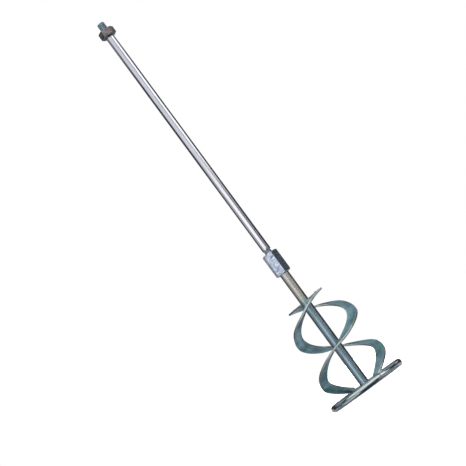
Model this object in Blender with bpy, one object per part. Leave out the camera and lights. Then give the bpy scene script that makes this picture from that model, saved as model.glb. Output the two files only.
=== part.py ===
"""Mortar mixing paddle: a threaded upper shaft and its lock nut, screwed into a hex coupling on a welded
mixing head. The head is a lower shaft, two helical strips hung from top blades, a round-bar hoop and a
cross strut.

Units are metres, +Z up. The origin is on the shaft's axis, in the plane that the hoop stands on.
A bearing is an angle about the axis, from -Y towards +X. A turn is how far a strip has wound downwards
from the bearing where it passes in front of the shaft.
"""

import math

import bmesh
import bpy

# Clearances
GAP = 0.0003  # between neighbouring solids
THREAD_CLEARANCE = 0.00035  # radial, between a thread and the bore that takes it

# Hoop and cross strut
RING_OUTER_DIAMETER = 0.120
RING_WIRE_DIAMETER = 0.0100
STRUT_WIDTH = 0.022
STRUT_THICKNESS = 0.005
STRUT_GROUND_CLEARANCE = 0.0019

# Shafts, thread, nut and coupling
LOWER_SHAFT_DIAMETER = 0.0142
UPPER_SHAFT_DIAMETER = 0.0130
UPPER_SHAFT_BODY = 0.3826  # from the shoulder above the coupling to the lock nut's seat
THREAD_DIAMETER = 0.0117
THREAD_CHAMFER = 0.0010
THREAD_ENGAGEMENT = 0.022  # thread held in the coupling
NECK_LENGTH = 0.0052  # bare thread between the coupling and the shoulder
STUB_ABOVE_NUT = 0.0118
SHOULDER_CHAMFER = 0.0004
HEX_ACROSS_FLATS = 0.0217
HEX_CHAMFER_FACE = 0.98  # chamfer circle on the end faces, as a share of the across-flats size
HEX_CHAMFER_ANGLE = math.radians(30)
NUT_HEIGHT = 0.012
NUT_CORNER_BEARING = math.radians(35)
COUPLING_LENGTH = 0.0357
COUPLING_CORNER_BEARING = math.radians(13.5)
COUPLING_SOCKET_DEPTH = 0.010  # lower shaft held in the coupling
SHAFT_ABOVE_BLADES = 0.0495  # from the top blades to the coupling

# Helical strips and top blades
STRIP_OVER_RING = 0.0032  # how far a strip's outer edge reaches over the hoop's bar
STRIP_WIDTH = 0.0143
STRIP_THICKNESS = 0.0029
STRIP_EDGE_BEVEL = 0.0004
STRIP_PITCH = 0.1345
STRIP_HEAD_TURN = math.radians(-34)
STRIP_REST_TURN = math.radians(328)  # where the outer edge comes down onto the hoop's bar
STRIP_FOOT_TURN = math.radians(338)  # the foot's end, inside the hoop
STRIP_HEAD_DIP = 0.0043  # how far the head end lies below the even helix
STRIP_FOOT_DROP = 0.0032  # how far the strip is pulled below the even helix where it rests on the bar
STRIP_CANT = 0.0046  # how far the outer edge droops below the inner one on the way down from each side
STRIP_SWAY = 0.0012  # unevenness from winding by hand: one strip runs high where the other runs low
FRONT_STRIP_PINCH = 0.0060  # how far the front strip's first half turn is drawn towards the shaft
BLADE_LOW_TURN = math.radians(-4)

# Weld beads, as the radius of each bead's round section
BLADE_BEAD = 0.0011
SEAM_BEAD = 0.0007
FOOT_BEAD = 0.0012
STRUT_BEAD = 0.0009
SHAFT_BEAD = 0.0010
RING_SEAM_BEAD = 0.0004
RING_SEAM_BEARING = math.radians(22.5)

# Facets
SHAFT_SIDES = 48
RING_STEPS = 96
RING_SIDES = 16
STRIP_STEPS = 84
BLADE_STEPS = 8
BEAD_STEPS = 12

# Places that follow from the sizes above
RING_WIRE_RADIUS = RING_WIRE_DIAMETER / 2
RING_RADIUS = RING_OUTER_DIAMETER / 2 - RING_WIRE_RADIUS
RING_INNER_RADIUS = RING_RADIUS - RING_WIRE_RADIUS
STRUT_TOP = STRUT_GROUND_CLEARANCE + STRUT_THICKNESS
LOWER_RADIUS = LOWER_SHAFT_DIAMETER / 2
UPPER_RADIUS = UPPER_SHAFT_DIAMETER / 2
THREAD_RADIUS = THREAD_DIAMETER / 2
STRIP_OUTER_RADIUS = RING_INNER_RADIUS + STRIP_OVER_RING
STRIP_INNER_RADIUS = STRIP_OUTER_RADIUS - STRIP_WIDTH
FOOT_BLEND_TURN = math.radians(270)
FOOT_SPAN = STRIP_REST_TURN - FOOT_BLEND_TURN
FOOT_CANT_SHARE = 0.75
STRIP_MID_RADIUS = STRIP_OUTER_RADIUS - STRIP_WIDTH / 2
FOOT_SLOPE = (STRIP_PITCH / math.tau + 2 * STRIP_FOOT_DROP / FOOT_SPAN) / STRIP_INNER_RADIUS
FOOT_HALF_HEIGHT = STRIP_THICKNESS / 2 * math.hypot(1, FOOT_SLOPE)
FOOT_OFFSET = RING_RADIUS - STRIP_OUTER_RADIUS
FOOT_REST = RING_WIRE_RADIUS + math.sqrt(RING_WIRE_RADIUS**2 - FOOT_OFFSET**2)
STRIP_REST_HEIGHT = FOOT_REST + 2 * GAP + FOOT_HALF_HEIGHT  # of the outer edge
FOOT_FALL = STRIP_FOOT_DROP + FOOT_CANT_SHARE * STRIP_CANT
CROSSING_HEIGHT = STRIP_REST_HEIGHT + FOOT_FALL + STRIP_PITCH * STRIP_REST_TURN / math.tau
STRIP_HEAD_HEIGHT = CROSSING_HEIGHT - STRIP_PITCH * STRIP_HEAD_TURN / math.tau - STRIP_HEAD_DIP
COUPLING_BOTTOM = STRIP_HEAD_HEIGHT + SHAFT_ABOVE_BLADES
COUPLING_TOP = COUPLING_BOTTOM + COUPLING_LENGTH
LOWER_SHAFT_BOTTOM = STRUT_TOP + GAP
LOWER_SHAFT_TOP = COUPLING_BOTTOM + COUPLING_SOCKET_DEPTH
THREAD_BOTTOM = COUPLING_TOP - THREAD_ENGAGEMENT
SHOULDER_HEIGHT = COUPLING_TOP + NECK_LENGTH
NUT_SEAT = SHOULDER_HEIGHT + UPPER_SHAFT_BODY
NUT_BOTTOM = NUT_SEAT + GAP
NUT_TOP = NUT_BOTTOM + NUT_HEIGHT
STUB_TOP = NUT_TOP + STUB_ABOVE_NUT


def clear_scene():
    """Removes every object that the file opened with."""
    for found in list(bpy.data.objects):
        bpy.data.objects.remove(found, do_unlink=True)


def finish(name, colour, roughness, metallic):
    """A plain metal material."""
    made = bpy.data.materials.new(name)
    made.use_nodes = True
    shader = made.node_tree.nodes["Principled BSDF"]
    shader.inputs["Base Color"].default_value = (*colour, 1.0)
    shader.inputs["Roughness"].default_value = roughness
    shader.inputs["Metallic"].default_value = metallic
    return made


def polar(bearing, radius, height):
    """A point at a bearing about the axis."""
    return (radius * math.sin(bearing), -radius * math.cos(bearing), height)


def place(name, data, material):
    """Links a mesh or a curve as a named object with its material."""
    data.materials.append(material)
    made = bpy.data.objects.new(name, data)
    bpy.context.scene.collection.objects.link(made)
    return made


def mesh_object(name, points, faces, material):
    """An object from points and faces, its faces turned outwards and its round sides shaded smooth."""
    mesh = bpy.data.meshes.new(name)
    mesh.from_pydata(points, [], faces)
    work = bmesh.new()
    work.from_mesh(mesh)
    bmesh.ops.recalc_face_normals(work, faces=work.faces)
    work.to_mesh(mesh)
    work.free()
    mesh.shade_smooth()
    mesh.set_sharp_from_angle(angle=math.radians(30))
    return place(name, mesh, material)


def lathe(name, profile, material, sides=SHAFT_SIDES):
    """A turned solid from a profile of (radius, height) points that runs from the axis at the top, down its
    outer side, to the axis at the bottom."""
    points = [(0, 0, profile[0][1])]
    for radius, height in profile[1:-1]:
        points += [polar(math.tau * i / sides, radius, height) for i in range(sides)]
    points.append((0, 0, profile[-1][1]))
    rings = len(profile) - 2
    last = len(points) - 1
    faces = []
    for i in range(sides):
        after = (i + 1) % sides
        faces.append((0, 1 + i, 1 + after))
        faces.append((last, last - sides + after, last - sides + i))
        for ring in range(rings - 1):
            upper = 1 + ring * sides
            lower = upper + sides
            faces.append((upper + i, lower + i, lower + after, upper + after))
    return mesh_object(name, points, faces, material)


def cutter(profile, name, material):
    """A turned solid that only shapes another one."""
    made = lathe(name, profile, material)
    made.hide_render = True
    made.display_type = "WIRE"
    return made


def apply_boolean(target, tool, operation):
    """Adds an exact Boolean modifier to the target."""
    modifier = target.modifiers.new(tool.name, "BOOLEAN")
    modifier.operation = operation
    modifier.solver = "EXACT"
    modifier.object = tool


def hex_body(name, bottom, height, corner_bearing, bore, material):
    """A hexagonal prism with both ends chamfered, and a bore turned through it from a profile."""
    corner_radius = HEX_ACROSS_FLATS / math.sqrt(3)
    top = bottom + height
    bearings = [corner_bearing + math.tau * i / 6 for i in range(6)]
    points = [polar(bearing, corner_radius, level) for level in (bottom, top) for bearing in bearings]
    faces = [tuple(range(6)), tuple(range(6, 12))]
    faces += [(i, (i + 1) % 6, 6 + (i + 1) % 6, 6 + i) for i in range(6)]
    made = mesh_object(name, points, faces, material)

    face_radius = HEX_ACROSS_FLATS / 2 * HEX_CHAMFER_FACE
    beyond = 0.001
    slope = math.tan(HEX_CHAMFER_ANGLE)
    tip_radius = face_radius - beyond / slope
    rim_radius = corner_radius + beyond
    rim_drop = (rim_radius - face_radius) * slope
    cone = [
        (0, top + beyond),
        (tip_radius, top + beyond),
        (rim_radius, top - rim_drop),
        (rim_radius, bottom + rim_drop),
        (tip_radius, bottom - beyond),
        (0, bottom - beyond),
    ]
    apply_boolean(made, cutter(cone, f"{name}_chamfer_cutter", material), "INTERSECT")
    apply_boolean(made, cutter(bore, f"{name}_bore_cutter", material), "DIFFERENCE")
    return made


def hoop(material):
    """The hoop: a round bar bent into a circle, with one facet of its section lying on the ground."""
    points = []
    apothem_radius = RING_WIRE_RADIUS / math.cos(math.pi / RING_SIDES)
    for step in range(RING_STEPS):
        bearing = math.tau * step / RING_STEPS
        for side in range(RING_SIDES):
            around = math.tau * (side + 0.5) / RING_SIDES
            radius = RING_RADIUS + apothem_radius * math.cos(around)
            height = RING_WIRE_RADIUS + apothem_radius * math.sin(around)
            points.append(polar(bearing, radius, height))
    faces = []
    for step in range(RING_STEPS):
        here, there = step * RING_SIDES, (step + 1) % RING_STEPS * RING_SIDES
        for side in range(RING_SIDES):
            after = (side + 1) % RING_SIDES
            faces.append((here + side, here + after, there + after, there + side))
    return mesh_object("base_ring", points, faces, material)


def plate(name, outline, tops, bottoms, material):
    """A closed plate over a plan outline of (x, y) points, with a top and a bottom height at each point."""
    count = len(outline)
    points = [(x, y, z) for (x, y), z in zip(outline, tops)]
    points += [(x, y, z) for (x, y), z in zip(outline, bottoms)]
    faces = [tuple(range(count)), tuple(range(count, 2 * count))]
    faces += [(i, (i + 1) % count, count + (i + 1) % count, count + i) for i in range(count)]
    return mesh_object(name, points, faces, material)


def cross_strut(material):
    """The flat bar across the hoop, its ends rounded to the hoop's inner side."""
    end_radius = RING_INNER_RADIUS - GAP
    half_angle = math.asin(STRUT_WIDTH / 2 / end_radius)
    outline = []
    for middle in (math.pi / 2, -math.pi / 2):
        for step in range(BLADE_STEPS + 1):
            bearing = middle - half_angle + 2 * half_angle * step / BLADE_STEPS
            outline.append(polar(bearing, end_radius, 0)[:2])
    count = len(outline)
    tops = [STRUT_TOP] * count
    bottoms = [STRUT_GROUND_CLEARANCE] * count
    return plate("cross_strut", outline, tops, bottoms, material)


def strip_height(turn):
    """Height of a strip's middle surface: an even helix, eased at its head and pulled down at its foot."""
    height = CROSSING_HEIGHT - STRIP_PITCH * turn / math.tau
    if turn < 0:
        height -= STRIP_HEAD_DIP * (turn / STRIP_HEAD_TURN) ** 2
    if turn > FOOT_BLEND_TURN:
        height -= STRIP_FOOT_DROP * ((turn - FOOT_BLEND_TURN) / FOOT_SPAN) ** 2
    return height


def strip_slope(turn, radius):
    """Rise over run of a strip at a turn and a radius."""
    step = math.radians(0.5)
    rise = strip_height(turn - step) - strip_height(turn + step)
    return rise / (2 * step * radius)


def rise_between(value, low, high):
    """Rises smoothly from 0 at low to 1 at high."""
    share = min(max((value - low) / (high - low), 0), 1)
    return share * share * (3 - 2 * share)


def strip_droop(turn):
    """How far a strip's outer edge lies below its inner edge."""
    degrees = math.degrees(turn)
    first = rise_between(degrees, 45, 88) * (1 - rise_between(degrees, 150, 198))
    second = FOOT_CANT_SHARE * rise_between(degrees, 232, 288)
    return STRIP_CANT * (first + second)


def strip_sway(turn):
    """How far a strip that runs high first is off its helix; it is nil at the head and at the foot."""
    wave = math.cos(2 * (turn - math.radians(30)))
    ends = rise_between(turn, math.radians(2), math.radians(20))
    ends *= 1 - rise_between(turn, math.radians(270), math.radians(300))
    return STRIP_SWAY * wave * ends


def radius_beside_hoop(underside):
    """Radius to which a strip's outer edge is trimmed so that it passes inside the hoop's bar."""
    above = max(underside - RING_WIRE_RADIUS, 0)
    across = max((RING_WIRE_RADIUS + 2 * GAP) ** 2 - above**2, 0)
    return RING_RADIUS - math.sqrt(across)


def helical_strip(name, start_bearing, pinch, sway, material):
    """A flat strip wound once round the shaft on edge, its width lying near the radius, its foot trimmed to
    run down inside the hoop. Sway is 1 for a strip that runs high first and -1 for one that runs low first."""
    points = []
    for step in range(STRIP_STEPS + 1):
        turn = STRIP_HEAD_TURN + (STRIP_FOOT_TURN - STRIP_HEAD_TURN) * step / STRIP_STEPS
        drawn_in = pinch * math.sin(turn) ** 2 if 0 < turn < math.pi else 0
        outer = STRIP_OUTER_RADIUS - drawn_in
        inner = outer - STRIP_WIDTH
        bearing = start_bearing - turn
        inner_height = strip_height(turn) + sway * strip_sway(turn)
        outer_height = inner_height - strip_droop(turn)
        half = STRIP_THICKNESS / 2 * math.hypot(1, strip_slope(turn, STRIP_MID_RADIUS))
        outer = min(outer, radius_beside_hoop(outer_height - half))
        points.append(polar(bearing, inner, inner_height + half))
        points.append(polar(bearing, outer, outer_height + half))
        points.append(polar(bearing, outer, outer_height - half))
        points.append(polar(bearing, inner, inner_height - half))
    faces = [(0, 1, 2, 3)]
    for step in range(STRIP_STEPS):
        here, there = 4 * step, 4 * (step + 1)
        for side in range(4):
            after = (side + 1) % 4
            faces.append((here + side, here + after, there + after, there + side))
    last = 4 * STRIP_STEPS
    faces.append((last, last + 1, last + 2, last + 3))
    made = mesh_object(name, points, faces, material)
    bevel = made.modifiers.new("edges", "BEVEL")
    bevel.width = STRIP_EDGE_BEVEL
    bevel.segments = 1
    bevel.limit_method = "ANGLE"
    bevel.angle_limit = math.radians(40)
    return made


BLADE_ROOT_RADIUS = LOWER_RADIUS + GAP
BLADE_TIP_RADIUS = STRIP_INNER_RADIUS - GAP
BLADE_RUN = BLADE_TIP_RADIUS * math.sin(BLADE_LOW_TURN - STRIP_HEAD_TURN)
BLADE_SLOPE = (STRIP_HEAD_HEIGHT - strip_height(BLADE_LOW_TURN)) / BLADE_RUN


def blade_height(turn, radius):
    """Height of a top blade's middle plane, which falls away from its upper edge."""
    return STRIP_HEAD_HEIGHT - BLADE_SLOPE * radius * math.sin(turn - STRIP_HEAD_TURN)


def top_blade(name, start_bearing, material):
    """A flat pitched blade that carries a strip's head end from the shaft."""
    places = []
    for radius, first, last in (
        (BLADE_ROOT_RADIUS, STRIP_HEAD_TURN, BLADE_LOW_TURN),
        (BLADE_TIP_RADIUS, BLADE_LOW_TURN, STRIP_HEAD_TURN),
    ):
        for step in range(BLADE_STEPS + 1):
            places.append((first + (last - first) * step / BLADE_STEPS, radius))
    half = STRIP_THICKNESS / 2 * math.hypot(1, BLADE_SLOPE)
    outline = [polar(start_bearing - turn, radius, 0)[:2] for turn, radius in places]
    tops = [blade_height(turn, radius) + half for turn, radius in places]
    bottoms = [blade_height(turn, radius) - half for turn, radius in places]
    return plate(name, outline, tops, bottoms, material)


def bead(name, points, radius, material, closed=False):
    """A weld bead: a round section carried along a path, tapered at open ends."""
    curve = bpy.data.curves.new(name, "CURVE")
    curve.dimensions = "3D"
    curve.bevel_depth = radius
    curve.bevel_resolution = 2
    curve.use_fill_caps = not closed
    spline = curve.splines.new("POLY")
    spline.points.add(len(points) - 1)
    for point, place_at in zip(spline.points, points):
        point.co = (*place_at, 1)
    spline.use_cyclic_u = closed
    spline.use_smooth = True
    if not closed:
        spline.points[0].radius = 0.5
        spline.points[-1].radius = 0.5
    return place(name, curve, material)


def steps_between(first, last, steps=BEAD_STEPS):
    """Evenly spaced values from the first to the last."""
    return [first + (last - first) * i / steps for i in range(steps + 1)]


def blade_weld(name, start_bearing, material):
    """The bead in the corner between a top blade's upper side and the shaft."""
    radius = LOWER_RADIUS + GAP + BLADE_BEAD
    lift = (STRIP_THICKNESS / 2 + GAP + BLADE_BEAD) * math.hypot(1, BLADE_SLOPE)
    turns = steps_between(STRIP_HEAD_TURN + math.radians(2), BLADE_LOW_TURN)
    path = [polar(start_bearing - turn, radius, blade_height(turn, radius) + lift) for turn in turns]
    bead(name, path, BLADE_BEAD, material)


def seam_weld(name, start_bearing, material):
    """The bead over the seam between a top blade and the strip that it carries."""
    path = []
    for turn in steps_between(STRIP_HEAD_TURN + math.radians(3), BLADE_LOW_TURN - math.radians(3)):
        radius = STRIP_INNER_RADIUS - GAP / 2
        blade_top = blade_height(turn, radius) + STRIP_THICKNESS / 2 * math.hypot(1, BLADE_SLOPE)
        slope = strip_slope(turn, STRIP_MID_RADIUS)
        strip_top = strip_height(turn) + STRIP_THICKNESS / 2 * math.hypot(1, slope)
        height = max(blade_top, strip_top) + (GAP + SEAM_BEAD) * math.hypot(1, slope)
        path.append(polar(start_bearing - turn, radius, height))
    bead(name, path, SEAM_BEAD, material)


def foot_weld(name, start_bearing, material):
    """The bead down the inner side of the hoop's bar, against the end face of a strip's foot."""
    reach = RING_WIRE_RADIUS + GAP + FOOT_BEAD
    bearing = start_bearing - STRIP_FOOT_TURN - (FOOT_BEAD + 2 * GAP) / RING_INNER_RADIUS
    path = []
    for around in steps_between(math.radians(130), math.radians(190)):
        radius = RING_RADIUS + reach * math.cos(around)
        path.append(polar(bearing, radius, RING_WIRE_RADIUS + reach * math.sin(around)))
    bead(name, path, FOOT_BEAD, material)


def strut_weld(name, bearing, material):
    """The bead in the corner between the strut's upper side and the hoop's inner side."""
    height = STRUT_TOP + GAP + STRUT_BEAD
    reach = RING_WIRE_RADIUS + GAP + STRUT_BEAD
    radius = RING_RADIUS - math.sqrt(reach**2 - (height - RING_WIRE_RADIUS) ** 2)
    half_angle = math.asin((STRUT_WIDTH / 2 - STRUT_BEAD) / radius)
    turns = steps_between(bearing - half_angle, bearing + half_angle)
    bead(name, [polar(turn, radius, height) for turn in turns], STRUT_BEAD, material)


def shaft_weld(material):
    """The bead round the foot of the lower shaft, on the strut."""
    radius = LOWER_RADIUS + GAP + SHAFT_BEAD
    height = STRUT_TOP + GAP + SHAFT_BEAD
    path = [polar(turn, radius, height) for turn in steps_between(0, math.tau, 32)[:-1]]
    bead("shaft_foot_weld", path, SHAFT_BEAD, material, closed=True)


def ring_seam_weld(material):
    """The bead over the joint where the hoop's bar closes, on its outer and upper sides."""
    reach = RING_WIRE_RADIUS + 2 * GAP + RING_SEAM_BEAD
    path = []
    for around in steps_between(math.radians(-40), math.radians(120), 12):
        radius = RING_RADIUS + reach * math.cos(around)
        path.append(polar(RING_SEAM_BEARING, radius, RING_WIRE_RADIUS + reach * math.sin(around)))
    bead("ring_seam_weld", path, RING_SEAM_BEAD, material)


def upper_shaft(material):
    """The polished bar with a thread turned on each end."""
    chamfer = THREAD_CHAMFER
    lathe(
        "upper_shaft",
        [
            (0, STUB_TOP),
            (THREAD_RADIUS - chamfer, STUB_TOP),
            (THREAD_RADIUS, STUB_TOP - chamfer),
            (THREAD_RADIUS, NUT_SEAT),
            (UPPER_RADIUS - SHOULDER_CHAMFER / 2, NUT_SEAT),
            (UPPER_RADIUS, NUT_SEAT - SHOULDER_CHAMFER),
            (UPPER_RADIUS, SHOULDER_HEIGHT + SHOULDER_CHAMFER),
            (UPPER_RADIUS - SHOULDER_CHAMFER, SHOULDER_HEIGHT),
            (THREAD_RADIUS, SHOULDER_HEIGHT),
            (THREAD_RADIUS, THREAD_BOTTOM + chamfer),
            (THREAD_RADIUS - chamfer, THREAD_BOTTOM),
            (0, THREAD_BOTTOM),
        ],
        material,
    )


def lower_shaft(material):
    """The bar of the head, from the cross strut up into the coupling."""
    chamfer = SHOULDER_CHAMFER
    lathe(
        "lower_shaft",
        [
            (0, LOWER_SHAFT_TOP),
            (LOWER_RADIUS - chamfer, LOWER_SHAFT_TOP),
            (LOWER_RADIUS, LOWER_SHAFT_TOP - chamfer),
            (LOWER_RADIUS, LOWER_SHAFT_BOTTOM),
            (0, LOWER_SHAFT_BOTTOM),
        ],
        material,
    )


def lock_nut(material):
    """The hex nut that is run down to the shoulder under the upper thread."""
    bore_radius = THREAD_RADIUS + THREAD_CLEARANCE
    beyond = 0.001
    bore = [
        (0, NUT_TOP + beyond),
        (bore_radius, NUT_TOP + beyond),
        (bore_radius, NUT_BOTTOM - beyond),
        (0, NUT_BOTTOM - beyond),
    ]
    hex_body("lock_nut", NUT_BOTTOM, NUT_HEIGHT, NUT_CORNER_BEARING, bore, material)


def hex_coupling(material):
    """The long hex: a threaded bore from above, and a plain socket for the lower shaft from below."""
    thread_bore = THREAD_RADIUS + THREAD_CLEARANCE
    socket = LOWER_RADIUS + GAP
    beyond = 0.001
    socket_top = LOWER_SHAFT_TOP + GAP
    bore = [
        (0, COUPLING_TOP + beyond),
        (thread_bore, COUPLING_TOP + beyond),
        (thread_bore, socket_top),
        (socket, socket_top),
        (socket, COUPLING_BOTTOM - beyond),
        (0, COUPLING_BOTTOM - beyond),
    ]
    hex_body("hex_coupling", COUPLING_BOTTOM, COUPLING_LENGTH, COUPLING_CORNER_BEARING, bore, material)


def build():
    """Makes every piece of the paddle."""
    clear_scene()
    polished = finish("polished_steel", (0.78, 0.79, 0.83), 0.16, 1.0)
    nut_steel = finish("nut_steel", (0.36, 0.33, 0.33), 0.38, 1.0)
    coupling_zinc = finish("coupling_zinc", (0.58, 0.61, 0.72), 0.30, 1.0)
    shaft_zinc = finish("shaft_zinc", (0.42, 0.50, 0.55), 0.32, 1.0)
    strip_zinc = finish("strip_zinc", (0.30, 0.45, 0.50), 0.36, 1.0)
    ring_zinc = finish("ring_zinc", (0.40, 0.44, 0.47), 0.26, 1.0)
    weld_metal = finish("weld_metal", (0.30, 0.34, 0.34), 0.45, 1.0)

    upper_shaft(polished)
    lock_nut(nut_steel)
    hex_coupling(coupling_zinc)
    lower_shaft(shaft_zinc)
    hoop(ring_zinc)
    cross_strut(strip_zinc)
    for side, bearing, pinch, sway in (("front", 0, FRONT_STRIP_PINCH, -1), ("rear", math.pi, 0, 1)):
        helical_strip(f"spiral_{side}", bearing, pinch, sway, strip_zinc)
        top_blade(f"top_blade_{side}", bearing, strip_zinc)
        blade_weld(f"blade_weld_{side}", bearing, weld_metal)
        seam_weld(f"seam_weld_{side}", bearing, weld_metal)
        foot_weld(f"foot_weld_{side}", bearing, weld_metal)
    for side, bearing in (("right", math.pi / 2), ("left", -math.pi / 2)):
        strut_weld(f"strut_weld_{side}", bearing, weld_metal)
    shaft_weld(weld_metal)
    ring_seam_weld(weld_metal)


build()
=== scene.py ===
"""Looks for a mortar mixing paddle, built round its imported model: a polished upper shaft with its lock nut, a
hex coupling, and a zinc-plated mixing head with helical strips, top blades, a hoop, a strut and weld beads.

Metres, +Z up. The origin is on the shaft's axis, in the plane that the hoop stands on. A bearing is an angle
about the axis, from -Y towards +X. A turn is how far a strip has wound downwards from the bearing where it
passes in front of the shaft.
"""

import logging
import math
from dataclasses import dataclass, field
from enum import Enum
from functools import cache
from typing import Any, Mapping, Sequence

import bpy
import numpy as np
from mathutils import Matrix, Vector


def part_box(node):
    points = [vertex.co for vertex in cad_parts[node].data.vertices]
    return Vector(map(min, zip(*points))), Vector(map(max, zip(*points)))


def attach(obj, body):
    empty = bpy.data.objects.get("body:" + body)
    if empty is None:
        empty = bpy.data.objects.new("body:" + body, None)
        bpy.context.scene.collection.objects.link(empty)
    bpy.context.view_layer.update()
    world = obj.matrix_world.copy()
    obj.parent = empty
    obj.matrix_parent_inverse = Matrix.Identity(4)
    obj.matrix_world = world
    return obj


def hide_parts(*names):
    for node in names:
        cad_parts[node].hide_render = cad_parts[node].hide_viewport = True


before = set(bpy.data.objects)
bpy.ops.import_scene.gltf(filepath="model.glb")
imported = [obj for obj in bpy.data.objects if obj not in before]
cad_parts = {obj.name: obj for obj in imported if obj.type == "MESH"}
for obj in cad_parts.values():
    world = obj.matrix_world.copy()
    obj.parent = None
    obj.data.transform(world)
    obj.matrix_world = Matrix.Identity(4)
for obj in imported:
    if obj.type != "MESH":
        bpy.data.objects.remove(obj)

Array = np.ndarray
Colour = tuple[float, float, float]
Operand = "Value | float"
Spot = tuple[float, float, float]  # a drop of spatter: bearing from its bead, degrees round the bar, radius

log = logging.getLogger("mixing_paddle")


# ---------------------------------------------------------------- shapes


def polar(bearing: Array | float, radius: Array | float, height: Array | float) -> Array:
    """Points at a bearing about the axis: (radius times sine, minus radius times cosine, height)."""
    x, y, z = np.broadcast_arrays(radius * np.sin(bearing), -radius * np.cos(bearing), height)
    return np.stack([x, y, z], axis=-1).astype(float)


def wander(along: Array, around: Array | float, seed: float) -> Array:
    """Slow, smooth unevenness between about -1 and 1.

    The sum of four sines whose rates and offsets follow from the seed, so that it never repeats evenly.

    Args:
        along: Where on the piece, in radians or any even measure.
        around: A second direction, added to the first inside each sine.
        seed: Any number, which picks the pattern.

    Returns:
        One value for each place.
    """
    rates = np.array([1.0, 2.3, 3.7, 5.9])
    sizes = np.array([0.5, 0.28, 0.14, 0.08])
    offsets = seed * np.array([1.7, 2.9, 4.1, 5.3])
    place = np.asarray(along)[..., None] * rates + np.asarray(around)[..., None] * rates[::-1] * 0.4
    return (sizes * np.sin(place + offsets)).sum(axis=-1)


def ease(value: Array, low: float, high: float) -> Array:
    """Rises smoothly from 0 at low to 1 at high: three times the square less twice the cube."""
    share = np.clip((value - low) / (high - low), 0, 1)
    return share * share * (3 - 2 * share)


def smooth_min(first: Array, second: Array, blend: float) -> Array:
    """The lower of two surfaces, rounded where they cross over a distance of blend."""
    share = np.clip(0.5 + 0.5 * (second - first) / blend, 0, 1)
    return second * (1 - share) + first * share - blend * share * (1 - share)


def rounded_line(corners: Sequence[tuple[float, float]], reach: float, steps: int = 4) -> Array:
    """A line of points through corners, each inner corner replaced by a short curve.

    The curve is a quadratic one that leaves the incoming side and joins the outgoing side at the same
    distance from the corner, which is reach or less than half the shorter side.

    Args:
        corners: (radius, height) of each corner.
        reach: How far from a corner its curve starts, in metres.
        steps: Spans in each curve.

    Returns:
        (radius, height) rows, the first and last corner included.
    """
    line = np.array(corners, dtype=float)
    before, here, after = line[:-2], line[1:-1], line[2:]
    back, ahead = before - here, after - here
    back_length = np.linalg.norm(back, axis=1, keepdims=True)
    ahead_length = np.linalg.norm(ahead, axis=1, keepdims=True)
    near = np.minimum(reach, 0.45 * np.minimum(back_length, ahead_length))
    start = here + back / back_length * near
    end = here + ahead / ahead_length * near
    t = np.linspace(0, 1, steps + 1)[None, :, None]
    curves = (1 - t) ** 2 * start[:, None] + 2 * t * (1 - t) * here[:, None] + t**2 * end[:, None]
    return np.vstack([line[:1], curves.reshape(-1, 2), line[-1:]])


@dataclass
class Skin:
    """A closed surface on a grid. Columns run round a section and join up; rows run along the piece.

    Attributes:
        points: rows x columns x 3, in metres.
        looped: The last row joins the first, as on a hoop; otherwise a fan closes each end.
        marks: Values for the finishes, each rows x columns, or rows x columns x 3.
    """

    points: Array
    looped: bool = False
    marks: dict[str, Array] = field(default_factory=dict)

    def faces(self) -> tuple[Array, Array]:
        """Corner numbers of the grid's quads, and of the triangles that close its ends."""
        rows, columns = self.points.shape[:2]
        row = np.arange(rows if self.looped else rows - 1)[:, None]
        column = np.arange(columns)[None, :]
        right, below = (column + 1) % columns, (row + 1) % rows
        here, there = row * columns, below * columns
        quads = np.stack([here + column, here + right, there + right, there + column], axis=-1)
        quads = quads.reshape(-1, 4)
        if self.looped:
            return quads, np.zeros((0, 3), dtype=int)
        edge = np.arange(columns)
        following = (edge + 1) % columns
        last = (rows - 1) * columns
        first_fan = np.stack([following, edge, np.full(columns, rows * columns)], axis=-1)
        last_fan = np.stack([last + edge, last + following, np.full(columns, rows * columns + 1)], axis=-1)
        return quads, np.vstack([first_fan, last_fan])

    def spread(self, values: Array) -> Array:
        """Grid values as one list, with the mean of each end row for the end's middle point."""
        flat = values.reshape(-1, *values.shape[2:])
        if self.looped:
            return flat
        return np.concatenate([flat, values[:1].mean(axis=1), values[-1:].mean(axis=1)])

    def shell(self) -> tuple[Array, list[Array]]:
        """All points and faces, turned so that the volume they enclose is positive."""
        points = self.spread(self.points)
        quads, fans = self.faces()
        halves = np.vstack([quads[:, [0, 1, 2]], quads[:, [0, 2, 3]], fans])
        a, b, c = (points[halves[:, k]] for k in range(3))
        if np.einsum("ij,ij->i", a, np.cross(b, c)).sum() < 0:
            quads, fans = quads[:, ::-1], fans[:, ::-1]
        return points, [quads, fans]


def make_mesh(name: str, skins: Sequence[Skin]) -> bpy.types.Object:
    """Makes one smooth-shaded object from closed surfaces.

    Args:
        name: The piece's name.
        skins: The surfaces, which all carry the same marks.

    Returns:
        The object, at the origin, its place in its mesh.
    """
    points: list[Array] = []
    faces: list[list[int]] = []
    start = 0
    for skin in skins:
        shell_points, groups = skin.shell()
        for group in groups:
            faces += (group + start).tolist()
        points.append(shell_points)
        start += len(shell_points)
    mesh = bpy.data.meshes.new(name)
    mesh.from_pydata(np.vstack(points).tolist(), [], faces)
    mesh.shade_smooth()
    for mark in skins[0].marks:
        values = np.concatenate([skin.spread(skin.marks[mark]) for skin in skins])
        kind, key = ("FLOAT", "value") if values.ndim == 1 else ("FLOAT_VECTOR", "vector")
        layer = mesh.attributes.new(mark, kind, "POINT")
        layer.data.foreach_set(key, values.astype(np.float32).ravel())
    made = bpy.data.objects.new(name, mesh)
    bpy.context.scene.collection.objects.link(made)
    return made


def levels(node: str) -> tuple[float, float]:
    """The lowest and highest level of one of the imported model's solids."""
    low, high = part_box(node)
    return float(low[2]), float(high[2])


# ---------------------------------------------------------------- shader maths


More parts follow.
